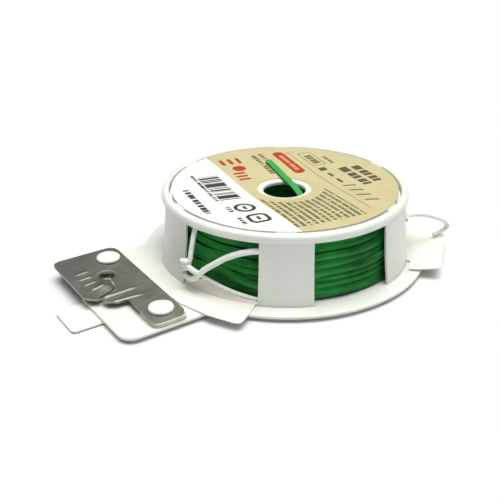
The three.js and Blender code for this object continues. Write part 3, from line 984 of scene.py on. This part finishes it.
def cutter_plate():
    """The stamped plate, tilted: a keyhole with a slit down to the lip, a creased fold above the
    lip, a lobe beside the slit and four short raised ribs."""
    keyhole, keyhole_radius, lobe = (-67.4, 11.0), 2.8, (-71.4, 4.6)
    fold, lip = ((-74.2, -1.9), (-61.2, -1.4)), ((-74.6, -5.9), (-61.6, -7.0))
    outline = rounded([
        (-80.1, 29.4, 3.5), (-80.1, 1.2, 1.6), (-77.2, -1.7, 1.4), (-75.4, -2.0, 0.3),
        (-74.7, -5.2, 1.2), (-72.0, -6.9, 1.0), (-68.4, -7.0, 0.5), (-68.4, -24.5, 3.0),
        (-56.3, -24.5, 3.0), (-56.0, 29.4, 4.0),
    ], 8)
    slit = ribbon([(-67.6, 9.6), (-67.6, 6.6), (-67.8, 4.7), (-68.5, 2.2), (-69.9, 0.7), (-71.8, -0.1),
                   (-74.0, -0.9), (-76.0, -1.6)], 0.55)
    ribs = [(-76.2, 16.7), (-76.6, 12.7), (-76.6, 8.8), (-75.8, 4.7)]

    def lift(x, y):
        height = plate_top - plate_thickness / 2 + y * plate_tilt
        away, share = beside(x, y, *fold)
        crease = hump(away, 0.28 if away > 0 else 0.7)
        height += 0.27 * crease * ramp(share, -0.03, 0.02) * ramp(1 - share, 0, 0.3)
        away, share = beside(x, y, *lip)
        height += 0.24 * hump(away, 0.4) * ramp(share, -0.03, 0.05) * ramp(1 - share, 0, 0.3)
        swell = hump(x - lobe[0], 2.4) * hump(y - lobe[1], 3.0)
        height += 0.45 * swell * (ramp(-x, 68.2, 69.4) if y < 6 else 1)
        from_hole = math.hypot(x - keyhole[0], y - keyhole[1]) - keyhole_radius
        height -= 0.12 * hump(from_hole - 0.1, 0.5)
        for rib_x, rib_y in ribs:
            reach = max(0.0, abs(x - rib_x - 2.2) - 1.8)
            height += 0.2 * hump(math.hypot(reach, y - rib_y - 0.08 * (x - rib_x)), 0.42)
        return height

    mesh = pressed(outline, [circle(*keyhole, keyhole_radius), slit], plate_thickness, 0.33, lift)
    build = Build().add_mesh(mesh)
    finish_piece(build, "cutter_plate_pressing", "cutter_plate", "case", steel, 40)


def spacer(node):
    """A clear pad that fills the gap between the base and the tilted plate."""
    low, high = span(node)
    left = low.x + 0.8
    outline = rounded([
        (left, low.y, 3), (high.x, low.y, 2.4), (high.x, high.y, 2.4), (left, high.y, 2.4),
    ])
    mesh = slab([outline], base_top, plate_top - plate_thickness - 0.06, 0.25)
    for vertex in mesh.vertices:
        if vertex.co.z / MM > base_top + 0.6:
            vertex.co.z += vertex.co.y * plate_tilt
    finish_piece(Build().add_mesh(mesh), node + "_pad", node, "case", pad, merge=0)


def rivet(node, seed):
    """A heat-formed head that is a little uneven, its shank, and its foot under the base."""
    low, high = span(node)
    centre = (low + high) / 2
    head = (high.x - low.x) / 2
    profile = rounded([
        (0.001, low.z, 0), (3.4, low.z, 0.2), (3.4, low.z + 0.6, 0.2), (2.0, low.z + 0.6, 0),
        (2.0, high.z - 1.35, 0), (head, high.z - 1.4, 0.35), (head, high.z - 0.5, 0.6),
        (head * 0.62, high.z - 0.02, 2.2), (0.001, high.z, 0),
    ], 6)
    vertices, faces = turned(profile, 64)
    moved = []
    for x, y, z in vertices:
        spread = 1 + 0.03 * noise.noise(Vector((x * 0.3, y * 0.3, seed)))
        dimple = 0.1 * noise.noise(Vector((x * 0.35, y * 0.35, seed + 9)))
        up = y * plate_tilt + dimple if z > high.z - 1.5 else 0
        moved.append((centre.x + x * spread, centre.y + y * spread, z + up))
    build = Build().add(moved, faces)
    finish_piece(build, node + "_moulding", node, "case", case_plastic, 50, merge=5e-6)


# ---- Sheet, strap and cord ----

def retainer_sheet():
    """The thin sheet under the coil. Its wings reach beyond the flange, and in the window with the
    cord a fold of it stands in front of the coil's foot."""
    thickness = 0.35
    rest = (sheet_low.z + sheet_high.z) / 2
    front = rounded([
        (-30, -8, 0), (-46, -8, 0), (-54.8, -8.6, 1.5), (-54.2, -16, 4), (-50.8, -28, 6),
        (-45.4, -38.4, 2.5), (-35.6, -31.9, 0), (-28, -24.5, 0),
    ])
    right = rounded([
        (20, -28, 0), (28.6, -37.9, 0), (23.4, -42.2, 0.5), (30.8, -50.4, 1.2), (54, -30.4, 1.2),
        (44.6, -20.6, 0), (30, -14, 0),
    ])
    back = rounded([(15, 30, 0), (16.8, 54.6, 2.5), (-8.4, 57.6, 2.5), (-8, 30, 0)])

    def lift(x, y):
        beyond = math.hypot(x, y) - 45
        curl = 0.6 * ramp(x, 30, 44) * ramp(beyond, -4, 4)
        if x > 0:
            curl += 0.009 * max(0.0, beyond) ** 2
        return rest + curl + 0.25 * noise.noise(Vector((x, y, 3)) * 0.06) * ramp(beyond, -6, 6)

    build = Build()
    for wing in (front, right, back):
        build.add_mesh(pressed(wing, [], thickness, 1.1, lift))
    bottom, top = rest - thickness / 2 - 0.01, rest + thickness / 2 + 0.01
    build.add(*turned([(0.001, bottom), (41, bottom), (41, top), (0.001, top)], 96))
    fold_stops, fold_tops = [-173, -168, -163, -156, -149, -143, -136], [5.0, 5.4, 7.2, 6.7, 5.2, 4.1, 3.2]
    directions = np.linspace(-173, -136, 16)
    feet = [polar(t, 46.4, rest) for t in directions]
    tops = [polar(t, 45.6, np.interp(t, fold_stops, fold_tops)) for t in directions]
    centres = [(top + foot) / 2 for top, foot in zip(tops, feet)]
    rises = [(top - foot) / 2 for top, foot in zip(tops, feet)]
    outwards = [polar(t, 0.15, 0) for t in directions]
    build.add(*sweep(centres, rises, outwards, [(-1, -1), (1, -1), (1, 1), (-1, 1)]))
    finish_piece(build, "retainer_sheet_wings", "retainer_sheet", "case", thin_plastic, 40)


def belt_strap():
    outline = rounded([
        (strap_low.x, strap_low.y, 2.0), (strap_high.x, strap_low.y, 0.3),
        (strap_high.x, strap_high.y, 0.3), (strap_low.x, strap_high.y, 2.0),
    ])
    rest, thickness = (strap_low.z + strap_high.z) / 2, strap_high.z - strap_low.z

    def lift(x, y):
        return rest + 0.05 * noise.noise(Vector((x, y, 8)) * 0.12)

    build = Build().add_mesh(pressed(outline, [], thickness * 0.8, 1.3, lift))
    finish_piece(build, "belt_strap_sheet", "belt_strap", "strap", thin_plastic, 40)


def elastic_cord():
    """The cord: one strand crosses the window and turns back on itself in an open ring, a second
    comes down from under the rim, and both are wrapped where they meet. A thinner strand leaves
    the knot along the coil's foot. Points are a direction, a radius and a height."""
    build = Build()
    across = [
        (-122, 42.7, 21.2), (-131, 42.9, 21.0), (-137.9, 43.4, 20.6), (-142, 44.0, 20.2),
        (-146.3, 44.6, 19.2), (-151.4, 45.2, 17.2), (-155.7, 46.2, 14.8), (-160.3, 47.2, 11.9),
        (-162.8, 48.0, 9.5), (-165.2, 48.3, 7.7), (-168.4, 48.3, 7.3), (-171.3, 48.2, 8.4),
        (-171.0, 48.1, 10.4), (-168.2, 48.2, 11.2), (-165.2, 48.2, 10.7), (-162.4, 48.0, 10.0),
    ]
    down = [
        (-169.8, 42.7, 24), (-169.8, 43.5, 22.2), (-169.2, 45.0, 18.8), (-168.6, 46.2, 15.8),
        (-168.2, 47.2, 13.4), (-169.0, 47.8, 12.2), (-170.2, 47.9, 11.4),
    ]
    low = [
        (-164.2, 48.2, 9.4), (-161.1, 47.4, 9.4), (-156.1, 46.2, 7.6), (-149.5, 45.7, 6.0),
        (-143.0, 45.3, 4.8), (-137.0, 45.0, 4.0), (-127, 44.7, 3.9),
    ]
    for points, radius in ((across, 1.02), (down, 0.86), (low, 0.6)):
        build.add(*tube([polar(*point) for point in points], radius, 8))
    outward, sideways, up = polar(-169.8, 1, 0), polar(-79.8, 1, 0), np.array([0, 0, 1.0])
    knot = polar(-170.0, 47.8, 11.6)
    wraps = []
    for i in range(21):
        turn = 2 * math.pi * i / 8
        lean = outward * 1.15 * math.sin(turn) + sideways * 1.45 * math.cos(turn)
        wraps.append(knot + lean + up * (1.6 - 0.16 * i))
    build.add(*tube(wraps, 0.74, 5))
    finish_piece(build, "elastic_cord_knotted", "elastic_cord", "case", cord, 60, merge=0)


def cord_loop():
    """The cord's loose end: out of a window, round and back down to the sheet's wing."""
    points = [
        (32.6, -30.1, 14.9), (36.4, -27.9, 14.9), (39.8, -28.3, 14.7), (43.1, -30.2, 14.3),
        (46.4, -32.2, 13.2), (49.5, -33.6, 11.4), (50.8, -34.2, 9.6), (50.4, -33.5, 7.8),
        (48.9, -32.3, 6.5), (46.6, -31.6, 5.9),
    ]
    build = Build().add(*tube(points, 0.85, 10))
    finish_piece(build, "cord_loop_end", "cord_loop", "loop", cord, 60, merge=0)


base_plate()
cage()
top_disc()
paper_label()
wire_coil()
wire_end()
cutter_plate()
spacer("spacer_far")
spacer("spacer_near")
rivet("rivet_far", 1)
rivet("rivet_near", 2)
retainer_sheet()
belt_strap()
elastic_cord()
cord_loop()


# ---- Stage, light and camera ----

def floor():
    mesh = bpy.data.meshes.new("floor")
    corners = [(-3, -3, 0), (3, -3, 0), (3, 3, 0), (-3, 3, 0)]
    mesh.from_pydata(corners, [], [(0, 1, 2, 3)])
    piece = bpy.data.objects.new("floor", mesh)
    piece.location.z = -0.0002
    place(piece)
    surface = Surface("floor", Roughness=0.9, Specular_IOR_Level=0.1)
    surface.set(Base_Color=(0.77, 0.77, 0.77, 1))
    piece.data.materials.append(surface.material)


def studio():
    """A plain white dome: one broad soft light, nearly overhead and a little to the right, with
    a weak even fill."""
    high, towards = math.radians(85), math.radians(-15)
    sideways = math.cos(high)
    middle_of_light = (sideways * math.cos(towards), sideways * math.sin(towards), math.sin(high))
    world = bpy.data.worlds.new("studio")
    world.use_nodes = True
    tree = world.node_tree
    direction = tree.nodes.new("ShaderNodeTexCoord")
    split = tree.nodes.new("ShaderNodeSeparateXYZ")
    tree.links.new(direction.outputs["Generated"], split.inputs[0])
    x, y, z = [Field(tree, split.outputs[i]) * middle_of_light[i] for i in range(3)]
    lobe = (x + y + z).most(0).math("POWER", 10)
    strength = lobe * 8.0 + 0.02
    tree.links.new(strength.source, tree.nodes["Background"].inputs["Strength"])
    tree.nodes["Background"].inputs["Color"].default_value = (1, 1, 1, 1)
    bpy.context.scene.world = world
    bpy.context.scene.view_settings.view_transform = "Standard"


def camera():
    """A short telephoto view from the tab's near side, looking down at the spool."""
    data = bpy.data.cameras.new("camera")
    data.lens = 54
    data.sensor_width = 36
    data.clip_start = 0.01
    holder = bpy.data.objects.new("camera", data)
    location = Vector((-0.1542, -0.2034, 0.1278))
    target = Vector((-0.0105, 0.0072, -0.0001))
    holder.location = location
    roll = Matrix.Rotation(-0.00723, 4, "Z")
    look = (target - location).to_track_quat("-Z", "Y").to_matrix().to_4x4()
    holder.matrix_world = Matrix.Translation(location) @ look @ roll
    place(holder)
    bpy.context.scene.camera = holder


floor()
studio()
camera()
